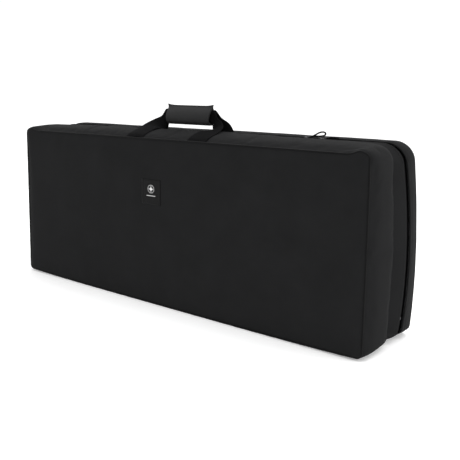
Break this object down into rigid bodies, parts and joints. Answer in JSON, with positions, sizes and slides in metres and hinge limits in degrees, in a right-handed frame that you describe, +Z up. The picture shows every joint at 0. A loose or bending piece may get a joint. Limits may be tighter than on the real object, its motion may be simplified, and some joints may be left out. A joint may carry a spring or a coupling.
{
  "type": "telescope carry case",
  "caption": "Long soft padded case for a telescope tube, standing on its long side, with a zipped hinged lid and a two-strap carry handle closed by a padded wrap.",
  "frame": {"origin": "on the floor, under the middle of the case's bounding box", "axes": "+X along the length, the front panel faces -Y and the zipped lid faces +Y, +Z up to the handle"},
  "size_m": [0.948, 0.1866, 0.433],
  "materials": {
    "shell_fabric": "matte coated nylon weave",
    "foam": "closed-cell foam board",
    "cradle_foam": "closed-cell foam, cut faces",
    "lining": "brushed tricot lining",
    "piping": "woven welt over cord",
    "zip_tape": "woven tape",
    "zip_teeth": "nylon coil",
    "zip_metal": "dark nickel plate",
    "ferrule": "moulded crimp",
    "pull_cord": "braided cord",
    "label_patch": "satin woven patch with a small pale mark",
    "webbing": "50 mm woven webbing",
    "hook_and_loop": "hook and loop tape"
  },
  "bodies": {
    "case": {"front_panel": "shell_fabric", "front_foam_board": "foam", "front_lining": "lining", "front_piping": "piping", "top_gusset": "shell_fabric", "bottom_gusset": "shell_fabric", "left_gusset": "shell_fabric", "right_gusset": "shell_fabric", "top_foam_board": "foam", "bottom_foam_board": "foam", "left_foam_board": "foam", "right_foam_board": "foam", "gusset_lining": "lining", "top_zip_band": "shell_fabric", "bottom_zip_band": "shell_fabric", "left_zip_band": "shell_fabric", "right_zip_band": "shell_fabric", "zip_tape_body": "zip_tape", "zip_teeth_body": "zip_teeth", "zip_stops_body": "zip_metal", "label": "label_patch", "left_cradle": "cradle_foam", "right_cradle": "cradle_foam", "front_left_strap": "webbing", "front_right_strap": "webbing", "rear_left_strap": "webbing", "rear_right_strap": "webbing"},
    "lid": {"back_panel": "shell_fabric", "back_foam_board": "foam", "back_lining": "lining", "back_piping": "piping", "lid_top_gusset": "shell_fabric", "lid_bottom_gusset": "shell_fabric", "lid_left_gusset": "shell_fabric", "lid_right_gusset": "shell_fabric", "lid_gusset_lining": "lining", "zip_tape_lid": "zip_tape", "zip_teeth_lid": "zip_teeth", "zip_stops_lid": "zip_metal"},
    "grip": {"front_grip_webbing": "webbing", "rear_grip_webbing": "webbing", "rear_grip_cover": "shell_fabric", "rear_grip_pad": "foam", "grip_loop_strip": "hook_and_loop"},
    "grip_flap": {"front_grip_cover": "shell_fabric", "front_grip_pad": "foam", "grip_hook_strip": "hook_and_loop"},
    "left_zip_slider": {"left_slider": "zip_metal"},
    "right_zip_slider": {"right_slider": "zip_metal"},
    "left_pull": {"left_pull_tab": "zip_metal", "left_pull_ferrule": "ferrule", "left_pull_cord": "pull_cord"},
    "right_pull": {"right_pull_tab": "zip_metal", "right_pull_ferrule": "ferrule", "right_pull_cord": "pull_cord"}
  },
  "joints": [
    {"name": "lid_hinge", "type": "hinge", "parent": "case", "child": "lid", "pos_m": [0, 0.042, -0.0003], "axis": [-1, 0, 0], "range_deg": [0, 180]},
    {"name": "handle_lift", "type": "slide", "parent": "case", "child": "grip", "axis": [0, 0, 1], "range_m": [0, 0.03], "deforming": ["front_left_strap", "front_right_strap", "rear_left_strap", "rear_right_strap"]},
    {"name": "grip_flap_hinge", "type": "hinge", "parent": "grip", "child": "grip_flap", "pos_m": [0, -0.004, 0.3917], "axis": [1, 0, 0], "range_deg": [0, 52]},
    {"name": "left_slider_run", "type": "slide", "parent": "case", "child": "left_zip_slider", "axis": [-1, 0, 0], "range_m": [0, 0.66]},
    {"name": "right_slider_run", "type": "slide", "parent": "case", "child": "right_zip_slider", "axis": [1, 0, 0], "range_m": [0, 0.11]},
    {"name": "left_pull_hinge", "type": "hinge", "parent": "left_zip_slider", "child": "left_pull", "pos_m": [0.26, 0.042, 0.37355], "axis": [0, -1, 0], "range_deg": [0, 145], "deforming": ["left_pull_cord"]},
    {"name": "right_pull_hinge", "type": "hinge", "parent": "right_zip_slider", "child": "right_pull", "pos_m": [0.292, 0.042, 0.37355], "axis": [0, -1, 0], "range_deg": [0, 145], "deforming": ["right_pull_cord"]}
  ]
}
